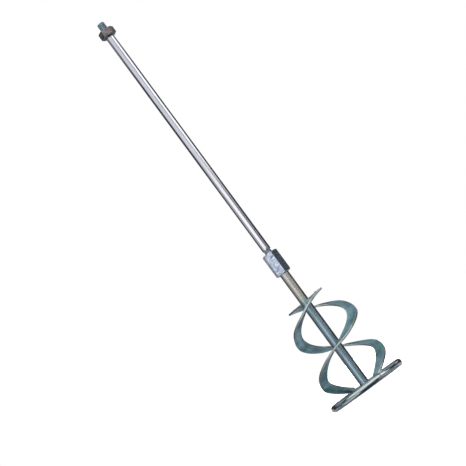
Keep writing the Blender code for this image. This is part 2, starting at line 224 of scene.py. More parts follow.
class Value:
    """A node socket that takes part in Python arithmetic on numbers."""

    def __init__(self, bench: "Bench", socket: bpy.types.NodeSocket) -> None:
        """Keeps the socket and the bench whose nodes it belongs to."""
        self.bench = bench
        self.socket = socket

    def _math(self, operation: str, first: Operand, second: Operand) -> "Value":
        """Adds one Math node."""
        return self.bench.node("ShaderNodeMath", {"operation": operation}, {0: first, 1: second})

    def __add__(self, other: Operand) -> "Value":
        """Sum."""
        return self._math("ADD", self, other)

    __radd__ = __add__

    def __sub__(self, other: Operand) -> "Value":
        """Difference."""
        return self._math("SUBTRACT", self, other)

    def __rsub__(self, other: Operand) -> "Value":
        """Difference, the other way round."""
        return self._math("SUBTRACT", other, self)

    def __mul__(self, other: Operand) -> "Value":
        """Product."""
        return self._math("MULTIPLY", self, other)

    __rmul__ = __mul__

    def __truediv__(self, other: Operand) -> "Value":
        """Quotient."""
        return self._math("DIVIDE", self, other)

    def size(self) -> "Value":
        """The value without its sign."""
        return self._math("ABSOLUTE", self, 0.0)

    def _smooth(self, low: float, high: float, below: float, above: float) -> "Value":
        """Goes smoothly from one value below low to another above high."""
        sockets = {0: self, 1: low, 2: high, 3: below, 4: above}
        return self.bench.node("ShaderNodeMapRange", {"interpolation_type": "SMOOTHSTEP"}, sockets)

    def rise(self, low: float, high: float) -> "Value":
        """Smoothly 0 below low and 1 above high."""
        return self._smooth(low, high, 0.0, 1.0)

    def fall(self, low: float, high: float) -> "Value":
        """Smoothly 1 below low and 0 above high."""
        return self._smooth(low, high, 1.0, 0.0)

    def window(self, low: float, high: float, soft: float) -> "Value":
        """1 between low and high, and 0 outside, with soft borders."""
        return self.rise(low - soft, low + soft) * self.fall(high - soft, high + soft)


class Bench:
    """Adds nodes to one node tree."""

    def __init__(self, tree: bpy.types.NodeTree) -> None:
        """Empties the tree."""
        self.tree = tree
        tree.nodes.clear()

    def node(
        self,
        kind: str,
        settings: Mapping[str, Any] | None = None,
        sockets: Mapping[str | int, Any] | None = None,
        output: str | int = 0,
    ) -> Value:
        """Adds a node of any type.

        Args:
            kind: The node's type name.
            settings: Its properties, set first; "stops" holds a colour ramp's (place, colour) pairs.
            sockets: Its input sockets by name or number: a number, a colour, a vector or another value.
            output: The output socket that is wanted, by name or number.

        Returns:
            The wanted output.
        """
        made = self.tree.nodes.new(kind)
        for key, setting in (settings or {}).items():
            if key == "stops":
                self._set_stops(made.color_ramp, setting)
            else:
                setattr(made, key, setting)
        for key, content in (sockets or {}).items():
            socket = made.inputs[key]
            if isinstance(content, Value):
                self.tree.links.new(content.socket, socket)
            elif isinstance(content, tuple) and len(content) == 3 and socket.type == "RGBA":
                socket.default_value = (*content, 1.0)
            else:
                socket.default_value = content
        wanted = made.outputs[output] if len(made.outputs) else made.inputs[0]
        return Value(self, wanted)

    @staticmethod
    def _set_stops(ramp: bpy.types.ColorRamp, stops: Sequence[tuple[float, Colour]]) -> None:
        """Gives a ramp its stops."""
        while len(ramp.elements) > 1:
            ramp.elements.remove(ramp.elements[-1])
        for number, (place, colour) in enumerate(stops):
            element = ramp.elements[0] if number == 0 else ramp.elements.new(place)
            element.position = place
            element.color = (*colour, 1.0)

    def place(self) -> Value:
        """Where a point is on the piece, in metres."""
        return self.node("ShaderNodeTexCoord", output="Object")

    def parts(self, vector: Value) -> tuple[Value, Value, Value]:
        """A vector's three numbers."""
        first = self.node("ShaderNodeSeparateXYZ", None, {0: vector})
        outputs = first.socket.node.outputs
        return first, Value(self, outputs[1]), Value(self, outputs[2])

    def mark(self, name: str) -> Value:
        """A number that the mesh carries."""
        return self.node("ShaderNodeAttribute", {"attribute_name": name}, output="Fac")

    def flow(self) -> Value:
        """Distances along and across a piece, which its mesh carries."""
        return self.node("ShaderNodeAttribute", {"attribute_name": "flow"}, output="Vector")

    def stretched(self, vector: Value, stretch: Colour, shift: Colour = (0.0, 0.0, 0.0)) -> Value:
        """A vector with each number scaled and shifted."""
        return self.node(
            "ShaderNodeVectorMath", {"operation": "MULTIPLY_ADD"}, {0: vector, 1: stretch, 2: shift}
        )

    def noise(
        self, vector: Value, scale: float, detail: float = 2.0, rough: float = 0.5, twist: float = 0.0
    ) -> Value:
        """Cloudy noise from about 0.2 to 0.8."""
        return self.node(
            "ShaderNodeTexNoise",
            {"noise_dimensions": "3D"},
            {"Vector": vector, "Scale": scale, "Detail": detail, "Roughness": rough, "Distortion": twist},
        )

    def cells(self, vector: Value, scale: float) -> Value:
        """Cell pattern: the distance to the nearest seed."""
        return self.node(
            "ShaderNodeTexVoronoi", {"feature": "F1"}, {"Vector": vector, "Scale": scale}, "Distance"
        )

    def ramp(self, value: Value, stops: Sequence[tuple[float, Colour]]) -> Value:
        """A colour that follows a value through stops."""
        return self.node("ShaderNodeValToRGB", {"stops": stops}, {0: value})

    def mixed(
        self, share: Operand, first: Value | Colour, second: Value | Colour, how: str = "MIX"
    ) -> Value:
        """One colour over another by a share."""
        return self.node(
            "ShaderNodeMix",
            {"data_type": "RGBA", "blend_type": how, "clamp_result": False},
            {0: share, 6: first, 7: second},
            2,
        )

    def toned(self, colour: Value | Colour, amount: Value) -> Value:
        """A colour made darker or lighter by an amount that is 1 where it stays."""
        grey = self.node("ShaderNodeCombineXYZ", None, {0: amount, 1: amount, 2: amount})
        return self.mixed(1.0, colour, grey, "MULTIPLY")


@dataclass
class Coat:
    """What a metal's surface does: its colour, its roughness, and its relief in metres."""

    colour: Value
    roughness: Value
    relief: Value


@dataclass(frozen=True)
class Finish:
    """A metal finish. Each kind works out its own coat."""

    name: str

    def coat(self, bench: Bench) -> Coat:
        """Works out the surface."""
        raise NotImplementedError

    def material(self) -> bpy.types.Material:
        """Makes the material.

        Returns:
            A material with one Principled shader, fed by the finish's coat.
        """
        made = bpy.data.materials.new(f"{self.name}_finish")
        made.use_nodes = True
        bench = Bench(made.node_tree)
        coat = self.coat(bench)
        bump = bench.node("ShaderNodeBump", None, {"Strength": 1.0, "Distance": 1.0, "Height": coat.relief})
        shader = bench.node(
            "ShaderNodeBsdfPrincipled",
            None,
            {"Base Color": coat.colour, "Roughness": coat.roughness, "Metallic": 1.0, "Normal": bump},
        )
        bench.node("ShaderNodeOutputMaterial", None, {"Surface": shader})
        return made


# ---------------------------------------------------------------- finishes


@dataclass(frozen=True)
class PolishedBar(Finish):
    """Drawn and polished steel bar, with zinc-grey threads.

    Attributes:
        bar: Colour of the polished bar.
        thread: Colour of the threads' crests.
        root: Colour at the bottom of the threads and in the relief groove under the lower shoulder: painted
            shade.
        neck: Colour of the lower thread's crests, near-white like the polished bar: a painted reflection.
        streaks: Lengthwise streaks per metre of circumference.
    """

    bar: Colour = (0.80, 0.81, 0.86)
    thread: Colour = (0.66, 0.82, 0.86)
    # Painted shade for the thread roots and the relief groove.
    root: Colour = (0.14, 0.22, 0.25)
    # Painted reflection: the lower thread is coloured like the polished bar.
    neck: Colour = (0.85, 0.86, 0.90)
    streaks: float = 900.0

    def coat(self, bench: Bench) -> Coat:
        """Streaks along the bar, a few patches of wear, painted shade in the thread roots and the relief
        groove, and a painted reflection on the lower thread.
        """
        place = bench.place()
        drawn = bench.noise(bench.stretched(place, (1.0, 1.0, 0.02)), self.streaks, 3.0, 0.6)
        fine = bench.noise(bench.stretched(place, (1.0, 1.0, 0.05)), self.streaks * 3.1, 2.0)
        patches = bench.noise(bench.stretched(place, (1.0, 1.0, 0.35)), 70.0, 4.0, 0.65)
        scratches = bench.noise(bench.stretched(place, (0.6, 0.6, 1.0)), 1400.0, 2.0, 0.4).rise(0.66, 0.72)
        thread, groove = bench.mark("thread"), bench.mark("groove")
        streaked = bench.toned(self.bar, drawn * 0.50 + 0.72 - patches.rise(0.55, 0.8) * 0.14)
        bar = bench.mixed(patches.rise(0.5, 0.75) * 0.35, streaked, (0.70, 0.74, 0.80))
        # Painted reflection: the lower thread's crests take the near-white neck colour.
        lower = bench.parts(place)[2].fall(0.30, 0.40)
        turned = bench.toned(bench.mixed(lower, self.thread, self.neck), patches * 0.5 + 0.75)
        # Painted shade: the root colour where the groove mark is deep, in the thread roots and the relief
        # groove.
        threaded = bench.mixed(groove.rise(0.35, 1.0), turned, self.root)
        roughness = drawn * 0.09 + patches * 0.06 + 0.035 + scratches * 0.12 + thread * 0.30
        relief = drawn * 0.0000016 + fine * 0.0000010 - scratches * 0.0000018 + patches * thread * 0.00002
        return Coat(bench.mixed(thread, bar, threaded), roughness, relief)


@dataclass(frozen=True)
class PlatedSteel(Finish):
    """Zinc-plated and passivated steel: cloudy, with fine grain, and edges paled by wear and, on some pieces,
    by a painted highlight.

    Attributes:
        dark: Colour where the plating is thinnest.
        middle: Usual colour.
        light: Colour of the bright clouds.
        tint: Colour of the passivation's patches.
        wear_and_highlight: Colour along the edges: wear, and where pale, as on the coupling, a painted
            highlight.
        cloud: Clouds per metre.
        gloss: Roughness where brightest.
        dull: Roughness where dullest.
        grain: Depth of the fine grain, in metres.
    """

    dark: Colour = (0.15, 0.29, 0.33)
    middle: Colour = (0.34, 0.53, 0.58)
    light: Colour = (0.60, 0.80, 0.85)
    tint: Colour = (0.26, 0.51, 0.47)
    wear_and_highlight: Colour = (0.74, 0.72, 0.67)
    cloud: float = 34.0
    gloss: float = 0.25
    dull: float = 0.42
    grain: float = 0.000003

    def clouds(self, bench: Bench, place: Value) -> tuple[Value, Value]:
        """The cloudy plating colour, and the clouds themselves."""
        large = bench.noise(place, self.cloud, 4.0, 0.55, 0.4)
        colour = bench.ramp(large, [(0.34, self.dark), (0.5, self.middle), (0.66, self.light)])
        elsewhere = bench.stretched(place, (1.0, 1.0, 1.0), (0.3, 0.1, 0.7))
        patches = bench.noise(elsewhere, self.cloud * 0.7, 2.0)
        return bench.mixed(patches.rise(0.48, 0.68) * 0.75, colour, self.tint), large

    def grained(self, bench: Bench, colour: Value, place: Value, large: Value, edge: Value) -> Coat:
        """Adds grain, specks, and pale edges of wear and painted highlight to a plating colour."""
        grain = bench.noise(place, 1300.0, 3.0, 0.6)
        ripple = bench.noise(place, 210.0, 2.0, 0.5)
        specks = bench.cells(place, 430.0).fall(0.10, 0.22) * bench.noise(place, 120.0).rise(0.5, 0.62)
        # Pale edge colour where the mesh marks an edge: wear, and on some finishes a painted highlight.
        wear_and_highlight_share = edge.rise(0.45, 0.95) * bench.noise(place, 260.0, 3.0).rise(0.22, 0.50)
        toned = bench.toned(colour, grain * 0.18 + 0.91 + (ripple - 0.5) * 0.30)
        speckled = bench.mixed(specks * 0.55, toned, (0.10, 0.14, 0.16))
        roughness = large.fall(0.3, 0.7) * (self.dull - self.gloss) + self.gloss + specks * 0.12
        relief = grain * self.grain + ripple * self.grain * 5.0 - specks * self.grain
        return Coat(bench.mixed(wear_and_highlight_share * 0.8, speckled, self.wear_and_highlight), roughness, relief)

    def coat(self, bench: Bench) -> Coat:
        """Clouds and grain over the whole piece, with the pale edge colour of wear and painted highlight where
        the mesh marks an edge.
        """
        place = bench.place()
        colour, large = self.clouds(bench, place)
        return self.grained(bench, colour, place, large, bench.mark("edge"))


@dataclass(frozen=True)
class RolledStrip(PlatedSteel):
    """Plated flat strip: lines along its length from rolling, and kinks of light where it was bent."""

    def coat(self, bench: Bench) -> Coat:
        """Clouds, with fine rolling lines, and broader bands of painted highlight and shade that follow the
        strip.
        """
        place, flow = bench.place(), bench.flow()
        colour, large = self.clouds(bench, place)
        lines = bench.noise(bench.stretched(flow, (0.05, 1.0, 1.0)), 1500.0, 3.0, 0.6)
        bends = bench.noise(bench.stretched(flow, (1.0, 0.25, 1.0)), 75.0, 1.0)
        coat = self.grained(bench, colour, place, large, bench.mark("edge"))
        # Painted highlight and shade: broad light and dark bands along the strip.
        light_and_shade_bands = bench.noise(bench.stretched(flow, (0.07, 1.0, 1.0)), 240.0, 2.0)
        coat.colour = bench.toned(coat.colour, lines * 0.20 + 0.90 + (light_and_shade_bands - 0.5) * 1.1)
        coat.relief = coat.relief + lines * 0.000003 + bends * 0.0005
        return coat


@dataclass(frozen=True)
class StainedShaft(PlatedSteel):
    """Plated round bar, blue below and heated to a warm grey above the top blades' weld.

    Attributes:
        heated: Colours of the heated part, from its lower end up.
        weld_level: Height of the top blades, in metres.
    """

    heated: tuple[Colour, Colour, Colour] = ((0.58, 0.62, 0.54), (0.70, 0.67, 0.60), (0.78, 0.74, 0.68))
    weld_level: float = 0.1500

    def coat(self, bench: Bench) -> Coat:
        """Clouds stretched along the bar, and the warm stain that fades through green at the weld."""
        place = bench.place()
        along = bench.stretched(place, (1.0, 1.0, 0.22))
        colour, large = self.clouds(bench, along)
        height = bench.parts(place)[2] + (bench.noise(place, 90.0, 2.0) - 0.5) * 0.012
        share = (height - self.weld_level) / 0.05
        warm = bench.ramp(share, [(0.0, self.heated[0]), (0.35, self.heated[1]), (0.85, self.heated[2])])
        pink = bench.noise(along, 130.0, 2.0).rise(0.5, 0.7)
        warm = bench.mixed(pink * 0.35, warm, (0.76, 0.60, 0.56))
        stained = bench.mixed(height.rise(self.weld_level - 0.004, self.weld_level + 0.006), colour, warm)
        coat = self.grained(bench, stained, along, large, bench.mark("edge"))
        lines = bench.noise(bench.stretched(place, (1.0, 1.0, 0.03)), 1100.0, 3.0)
        coat.colour = bench.toned(coat.colour, lines * 0.14 + 0.93)
        coat.relief = coat.relief + lines * 0.000004
        return coat


@dataclass(frozen=True)
class CrystalPlate(PlatedSteel):
    """Blue plating on a milled hex: pale and dark crystal patches, and milling lines across the flats.

    Attributes:
        deep: Colour of the darkest blots.
    """

    deep: Colour = (0.16, 0.17, 0.26)

    def coat(self, bench: Bench) -> Coat:
        """Twisted noise for the crystals, darker blots, milling lines, and bright corners: wear, with a painted
        highlight where the edge colour is white.
        """
        place = bench.place()
        large = bench.noise(place, 150.0, 4.0, 0.55, 1.3)
        colour = bench.ramp(
            large, [(0.34, self.deep), (0.42, self.dark), (0.52, self.middle), (0.62, self.light)]
        )
        patches = bench.noise(place, 90.0, 2.0, 0.5, 0.6)
        colour = bench.mixed(patches.rise(0.5, 0.66) * 0.7, colour, self.tint)
        coat = self.grained(bench, colour, place, large, bench.mark("edge"))
        milled = bench.noise(bench.stretched(place, (0.12, 0.12, 1.0)), 1900.0, 2.0)
        coat.colour = bench.toned(coat.colour, milled * 0.1 + 0.95)
        coat.relief = coat.relief + milled * 0.000003 + large * 0.000012
        return coat


@dataclass(frozen=True)
class PunchedNut(PlatedSteel):
    """Brownish plating on a nut, with a reddish stain on its front flat.

    Attributes:
        stain: Colour of the stain.
        stain_at: Its middle, in metres.
        stain_reach: Its radius, in metres.
    """

    stain: Colour = (0.42, 0.24, 0.22)
    stain_at: tuple[float, float, float] = (0.0035, -0.0104, 0.629)
    stain_reach: float = 0.0042

    def coat(self, bench: Bench) -> Coat:
        """Fine mottling, and the stain with a ragged border."""
        place = bench.place()
        colour, large = self.clouds(bench, place)
        away = bench.node(
            "ShaderNodeVectorMath", {"operation": "DISTANCE"}, {0: place, 1: self.stain_at}, "Value"
        )
        ragged = away + (bench.noise(place, 420.0, 2.0) - 0.5) * 0.003
        blot = ragged.fall(0.3 * self.stain_reach, self.stain_reach)
        colour = bench.mixed(blot * 0.7, colour, self.stain)
        coat = self.grained(bench, colour, place, large, bench.mark("edge"))
        coat.relief = coat.relief + large * 0.00003
        return coat


@dataclass(frozen=True)
class WeldBead(PlatedSteel):
    """Plated weld metal: rough, with straw and blue heat colours between its ripples."""

    def coat(self, bench: Bench) -> Coat:
        """Clouds with heat colours, and painted shade: dark lines in the hollows between ripples and on the
        lower side of spatter drops.
        """
        place = bench.place()
        colour, large = self.clouds(bench, place)
        heat = bench.ramp(
            bench.noise(place, 240.0, 2.0),
            [(0.35, (0.16, 0.22, 0.30)), (0.5, (0.36, 0.40, 0.38)), (0.65, (0.50, 0.42, 0.30))],
        )
        coat = self.grained(bench, bench.mixed(0.45, colour, heat), place, large, bench.mark("edge"))
        # Painted shade: near-black in the ripples' hollows and on the lower side of spatter drops.
        coat.colour = bench.mixed(bench.mark("edge").fall(0.0, 0.45) * 0.6, coat.colour, (0.06, 0.08, 0.09))
        coat.relief = coat.relief + bench.noise(place, 700.0, 3.0) * 0.00006
        return coat


class Metal(Enum):
    """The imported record's material slots, each with its finish."""

    POLISHED_STEEL = PolishedBar("polished_steel")
    NUT_STEEL = PunchedNut(
        "nut_steel",
        dark=(0.15, 0.14, 0.145), middle=(0.27, 0.245, 0.245), light=(0.40, 0.36, 0.37),
        tint=(0.34, 0.30, 0.36), wear_and_highlight=(0.62, 0.58, 0.58),
        cloud=210.0, gloss=0.28, dull=0.45, grain=0.000005,
    )
    COUPLING_ZINC = CrystalPlate(
        "coupling_zinc",
        dark=(0.36, 0.41, 0.52), middle=(0.50, 0.57, 0.69), light=(0.68, 0.76, 0.87),
        # Pure white edge colour: a painted highlight along the hex's corners and chamfer creases, over their
        # wear.
        tint=(0.52, 0.56, 0.70), wear_and_highlight=(1.0, 1.0, 1.0), gloss=0.17, dull=0.30,
    )
    SHAFT_ZINC = StainedShaft(
        "shaft_zinc",
        dark=(0.34, 0.46, 0.52), middle=(0.44, 0.57, 0.64), light=(0.56, 0.70, 0.78),
        tint=(0.40, 0.56, 0.58), gloss=0.18, dull=0.33,
    )
    RING_ZINC = PlatedSteel(
        "ring_zinc",
        dark=(0.40, 0.48, 0.50), middle=(0.54, 0.60, 0.62), light=(0.72, 0.76, 0.79),
        tint=(0.46, 0.56, 0.53), cloud=46.0, gloss=0.06, dull=0.16, grain=0.000001,
    )
    STRIP_ZINC = RolledStrip("strip_zinc")
    WELD_METAL = WeldBead("weld_metal", gloss=0.34, dull=0.55, cloud=120.0)


@cache
def dressed(metal: Metal) -> bpy.types.Material:
    """The material of a slot, made once."""
    return metal.value.material()


class Body(Enum):
    """The bodies that move as one."""

    HEAD = "head"
    UPPER_SHAFT = "upper_shaft"
    LOCK_NUT = "lock_nut"


@dataclass
class Piece:
    """One visible piece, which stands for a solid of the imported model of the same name.

    Attributes:
        name: The piece's and the solid's name.
        metal: Its finish.
        body: What it moves with.
    """

    name: str
    metal: Metal
    body: Body

    def skins(self) -> list[Skin]:
        """The piece's closed surfaces."""
        raise NotImplementedError

    def build(self) -> bpy.types.Object:
        """Makes the mesh and dresses it.

        Returns:
            The finished object, riding on its body.
        """
        made = make_mesh(f"{self.name}_finish", self.skins())
        made.data.materials.append(dressed(self.metal))
        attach(made, self.body.value)
        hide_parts(self.name)
        return made


# ---------------------------------------------------------------- shafts, nut and coupling


@dataclass
class Thread:
    """A right-hand screw thread's form.

    Attributes:
        radius: Crest radius, in metres.
        pitch: Rise in one turn.
        depth: From crest to root.
        rows: Rows of points in one pitch.
    """

    radius: float = 0.00585
    pitch: float = 0.00175
    depth: float = 0.00102
    rows: int = 12

    def groove(self, bearing: Array, height: Array) -> Array:
        """How deep the groove is, from 0 on a crest to 1 at a root.

        A point's phase is its height in pitches less its bearing in turns. The groove's side falls evenly
        from a crest an eighth of a pitch wide to a root, as a sharp-crested wave does.
        """
        phase = height / self.pitch - bearing / math.tau
        wave = np.abs(2 * (phase % 1.0) - 1)
        return np.clip((wave - 0.10) / 0.72, 0, 1)

    def heights(self, low: float, high: float) -> Array:
        """Even levels from low to high, close enough to draw the thread."""
        return np.linspace(low, high, max(2, round((high - low) / self.pitch * self.rows)))


END_SHARE = 0.55  # radius of a turned piece's flat end where its middle fan starts, as a share of its rim


def capped(rows: Array) -> Array:
    """Rows with the first and the last one doubled, for a flat end."""
    return np.vstack([rows[:1], rows, rows[-1:]])


@dataclass
class UpperShaft(Piece):
    """The polished bar with a thread on each end.

    Attributes:
        radius: Of the polished bar.
        thread: The form of both threads.
        chamfer: At the thread's ends.
        seat: Level of the upper shoulder, where the nut rests.
        shoulder: Level of the lower shoulder, above the coupling.
    """

    radius: float = 0.0065
    thread: Thread = field(default_factory=Thread)
    chamfer: float = 0.0010
    seat: float = 0.62264
    shoulder: float = 0.24004

    def skins(self) -> list[Skin]:
        """A turned surface whose radius, in the threads, is the crest radius less the groove's depth there.

        The thread fades out over a millimetre before each shoulder. A relief groove runs under the lower
        shoulder, and a 45 degree cone trims the thread's ends.
        """
        bottom, top = levels(self.name)
        lower = self.thread.heights(bottom, self.shoulder)
        upper = self.thread.heights(self.seat, top)
        body = rounded_line(
            [
                (self.thread.radius, self.shoulder),
                (self.radius, self.shoulder + 0.00002),
                (self.radius, self.seat - 0.00002),
                (self.thread.radius, self.seat),
            ],
            0.0004,
            5,
        )[1:-1]
        plain = np.linspace(self.shoulder + 0.003, self.seat - 0.003, 24)
        body = np.vstack([body[:6], np.stack([np.full(24, self.radius), plain], axis=-1), body[6:]])
        height = np.concatenate([lower, body[:, 1], upper])
        crests = [np.full(len(rows), self.thread.radius) for rows in (lower, upper)]
        crest = np.concatenate([crests[0], body[:, 0], crests[1]])
        threaded = np.concatenate([np.ones(len(lower)), np.zeros(len(body)), np.ones(len(upper))])
        bearing = np.linspace(0, math.tau, 80, endpoint=False)[None, :]
        level = height[:, None] + 0 * bearing
        fade = 1 - ease(level, self.shoulder - 0.0012, self.shoulder - 0.0002) * (level < 0.4)
        fade = fade * np.where(level > 0.4, ease(level, self.seat + 0.0002, self.seat + 0.0012), 1)
        groove = self.thread.groove(bearing, level) * threaded[:, None] * fade
        below = level < self.shoulder + 0.00001
        # The relief groove is marked as groove, so the bar finish paints shade in it as in the thread roots.
        relief = ease(level, self.shoulder - 0.0014, self.shoulder - 0.0009) * below
        groove = groove + relief * (1 - groove)
        radius = crest[:, None] - self.thread.depth * groove
        tip = self.thread.radius - self.chamfer + np.minimum(level - bottom, top - level)
        radius = smooth_min(radius, np.where(threaded[:, None] > 0, tip, 1.0), 0.00012)
        radius = np.vstack([radius[:1] * END_SHARE, radius, radius[-1:] * END_SHARE])
        marks = {"thread": capped(threaded[:, None] + 0 * bearing), "groove": capped(groove)}
        return [Skin(polar(bearing, radius, capped(level)), marks=marks)]


CORNER_RISE = 0.0774  # how far a hexagon's corner lies past its flat, as a share of its size over the flats


@dataclass
class HexPiece(Piece):
    """A hexagon bar with chamfered ends and a threaded bore.

    Attributes:
        across_flats: Size over two flats.
        corner: Bearing of one corner.
        face_share: Chamfer circle on an end face, as a share of the size over the flats.
        chamfer: Angle of the chamfer to the end face.
        bore: Radius of the bore, at the thread's crests.
        thread: The form of the bore's thread.
        socket: Depth of a wider, plain socket from below, or none.
        socket_radius: Its radius.
    """

    across_flats: float = 0.0217
    corner: float = 0.0
    face_share: float = 0.94
    chamfer: float = math.radians(30)
    bore: float = 0.00600
    thread: Thread = field(default_factory=Thread)
    socket: float = 0.0
    socket_radius: float = 0.0074

    def bearings(self) -> Array:
        """Bearings round the hexagon, crowded near its corners.

        In each sixth, the share of the way is u less 0.86 times the sine of a whole turn of u, over tau.
        """
        u = np.linspace(0, 1, 30, endpoint=False)
        share = u - 0.86 * np.sin(math.tau * u) / math.tau
        sixth = np.arange(6)[:, None]
        return (self.corner + (sixth + share[None, :]) * math.tau / 6).ravel()

    def side(self, bearing: Array) -> Array:
        """The hexagon's radius at a bearing: half its size over the cosine from the flat's middle."""
        off = (bearing - self.corner) % (math.tau / 6) - math.tau / 12
        flat = self.across_flats / 2 / np.cos(off)
        return smooth_min(flat, np.full_like(flat, self.across_flats / math.sqrt(3) * 0.99), 0.00025)

    def skins(self) -> list[Skin]:
        """Rows run up the outside, in over the top face, down the bore and out over the bottom face.

        The outside's radius is the lower of the hexagon's and the chamfer cone's, which is the chamfer
        circle's radius plus the distance from the nearer end face over the tangent of the chamfer's angle.
        """
        bottom, top = levels(self.name)
        bearing = self.bearings()[None, :]
        circle = self.across_flats / 2 * self.face_share
        reach = (self.across_flats / math.sqrt(3) - circle) * math.tan(self.chamfer) + 0.0003
        ends = reach * np.linspace(0, 1, 22) ** 1.3  # rows crowded towards the end face
        middle = np.linspace(bottom + reach, top - reach, 9)[1:-1]
        level = np.concatenate([bottom + ends, middle, top - ends[::-1]])
        near = np.minimum(level - bottom, top - level)[:, None]
        side = self.side(bearing)
        cone = circle + near / math.tan(self.chamfer)
        outside = smooth_min(side + 0 * cone, cone + 0 * side, 0.00015)
        level = level[:, None] + 0 * bearing
        past_flat = side - self.across_flats / 2
        corner_mark = np.clip(past_flat / (self.across_flats * CORNER_RISE), 0, 1) ** 2
        crease = 1 - ease(np.abs(cone - side), 0.0, 0.0009)
        edge = np.maximum(corner_mark + 0 * cone, crease * 0.9)

        throat = self.bore + self.thread.depth
        middle_ring = (circle + throat) / 2
        into = np.array([circle - 0.0002, middle_ring, throat + 0.0006, throat + 0.0003])
        top_face = np.repeat(into[:, None], bearing.size, axis=1)
        inner = self.thread.heights(bottom + 0.0003 + self.socket, top - 0.0003)[::-1]
        bore_level = inner[:, None] + 0 * bearing
        mouth = throat + 0.0003 - np.minimum(inner - bottom - self.socket, top - inner)[:, None] * 1.2
        bore_radius = self.bore + self.thread.depth * self.thread.groove(bearing, bore_level)
        bore_radius = np.maximum(bore_radius, mouth)
        end = bottom + self.socket
        rim, under = throat + 0.0003, []
        if self.socket:
            rim = max(rim, self.socket_radius + 0.0002)
            under = [(self.socket_radius, end - 0.0001), (self.socket_radius, bottom + 0.0002)]
        under += [(rim, bottom)]
        under += [(middle_ring, bottom), (circle - 0.0002, bottom)]
        lower = np.array(under)
        radius = np.vstack([outside, top_face, bore_radius, lower[:, :1] + 0 * bearing])
        heights = np.vstack([level, top + 0 * top_face, bore_level, lower[:, 1:] + 0 * bearing])
        plain = np.zeros((len(radius) - len(edge), bearing.size))
        marks = {"edge": np.vstack([edge, plain])}
        return [Skin(polar(bearing, radius, heights), looped=True, marks=marks)]


@dataclass
class LowerShaft(Piece):
    """The mixing head's bar, a little thicker than the upper one, its foot rounded."""

    radius: float = 0.0071

    def skins(self) -> list[Skin]:
        """A turned surface from foot to top, out of true by a few hundredths of a millimetre."""
        bottom, top = levels(self.name)
        outline = [(0.002, bottom), (self.radius, bottom), (self.radius, top), (0.002, top)]
        profile = rounded_line(outline, 0.0006, 5)
        plain = np.linspace(bottom + 0.002, top - 0.002, 60)
        half = len(profile) // 2
        side = np.stack([np.full(60, self.radius), plain], axis=-1)
        profile = np.vstack([profile[:half], side, profile[half:]])
        bearing = np.linspace(0, math.tau, 72, endpoint=False)[None, :]
        radius, level = profile[:, :1] + 0 * bearing, profile[:, 1:] + 0 * bearing
        radius = radius - 0.00004 * (1 + wander(level * 70, bearing * 0, 2.0)) * (radius > 0.006)
        edge = 1 - ease(np.minimum(level - bottom, top - level), 0.0, 0.0012)
        return [Skin(polar(bearing, radius, level), marks={"edge": edge})]


# ---------------------------------------------------------------- mixing head


def bar_section(half_width: float, half_height: float, corner: float) -> tuple[Array, Array, Array]:
    """The outline of a flat bar with rounded corners, once round.

    Each corner is a quarter circle about a point set in by its radius. Each wide face has points between.

    Args:
        half_width: Half the bar's width.
        half_height: Half its thickness.
        corner: Radius of the corners.

    Returns:
        Places across the width and through the thickness, and how near each is to the bar's rim, 0 to 1.
    """
    quarter = np.linspace(0, math.pi / 2, 5)
    across, through = [], []
    for number, (side, face) in enumerate(((1, 1), (-1, 1), (-1, -1), (1, -1))):
        angle = quarter + number * math.pi / 2
        across.append(side * (half_width - corner) + corner * np.cos(angle))
        through.append(face * (half_height - corner) + corner * np.sin(angle))
        if number % 2 == 0:
            span = np.linspace(side, -side, 12)[1:-1] * (half_width - corner)
            across.append(span)
            through.append(np.full(10, face * half_height))
    u, v = np.concatenate(across), np.concatenate(through)
    return u, v, 1 - ease(half_width - np.abs(u), 0.0, 0.0019)


def rounded_end(from_end: Array, reach: float, loss: float) -> Array:
    """A bar's thickness near its end, as a share of the whole: it falls as a quarter circle.

    Args:
        from_end: Distance from the end, in metres.
        reach: Over how far it falls.
        loss: The share that is lost at the very end.

    Returns:
        The share at each place.
    """
    off = 1 - np.clip(from_end / reach, 0, 1)
    return 1 - loss * (1 - np.sqrt(np.clip(1 - off**2, 0, 1)))


